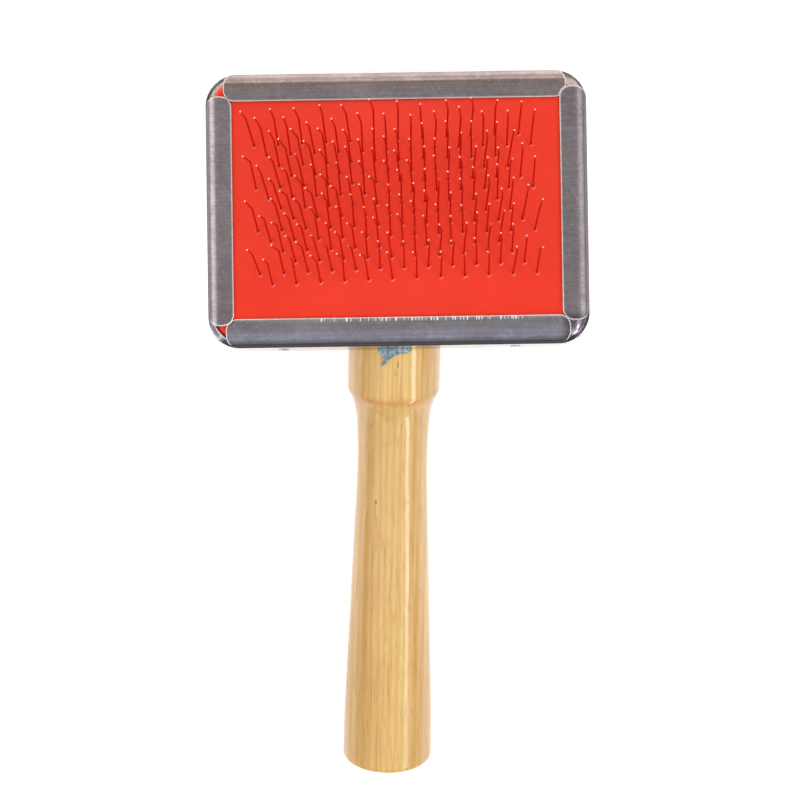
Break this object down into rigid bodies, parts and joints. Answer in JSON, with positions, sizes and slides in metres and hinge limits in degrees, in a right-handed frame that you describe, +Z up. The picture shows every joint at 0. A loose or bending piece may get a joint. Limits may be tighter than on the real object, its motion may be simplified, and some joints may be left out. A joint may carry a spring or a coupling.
{
  "type": "slicker brush",
  "caption": "Small pet slicker brush: bent wire pins through a domed red rubber cushion, clamped by tin edge strips on a wooden head with a turned, raked wooden handle.",
  "frame": {"origin": "on the table, under the middle of the bounding box, with the brush lying on its back", "axes": "+Z up; +Y from the handle's end toward the head's far edge; +X to the right seen from above with the handle toward the viewer"},
  "size_m": [0.0608, 0.1196, 0.0319],
  "materials": {
    "handle_wood": "turned blond wood under clear gloss lacquer",
    "board_wood": "sanded blond wood, thin clear lacquer",
    "foam": "closed-cell foam",
    "cloth": "felted cloth",
    "red_rubber": "smooth satin rubber sheet",
    "pin_wire": "drawn steel wire",
    "tin_strip": "tin-plated sheet, lightly scratched",
    "tack_steel": "plain steel",
    "screw_steel": "zinc plated",
    "glue": "glossy set adhesive"
  },
  "bodies": {
    "root": {"handle": "handle_wood", "head_board": "board_wood", "cushion_pad": "foam", "cloth_foundation": "cloth", "rubber_face": "red_rubber", "staple_row_01": "pin_wire", "staple_row_02": "pin_wire", "staple_row_03": "pin_wire", "staple_row_04": "pin_wire", "staple_row_05": "pin_wire", "staple_row_06": "pin_wire", "staple_row_07": "pin_wire", "staple_row_08": "pin_wire", "staple_row_09": "pin_wire", "staple_row_10": "pin_wire", "staple_row_11": "pin_wire", "staple_row_12": "pin_wire", "staple_row_13": "pin_wire", "staple_row_14": "pin_wire", "edge_strip_main": "tin_strip", "edge_strip_closing": "tin_strip", "edge_tacks": "tack_steel", "handle_screws": "screw_steel", "glue_bead": "glue"}
  },
  "joints": []
}
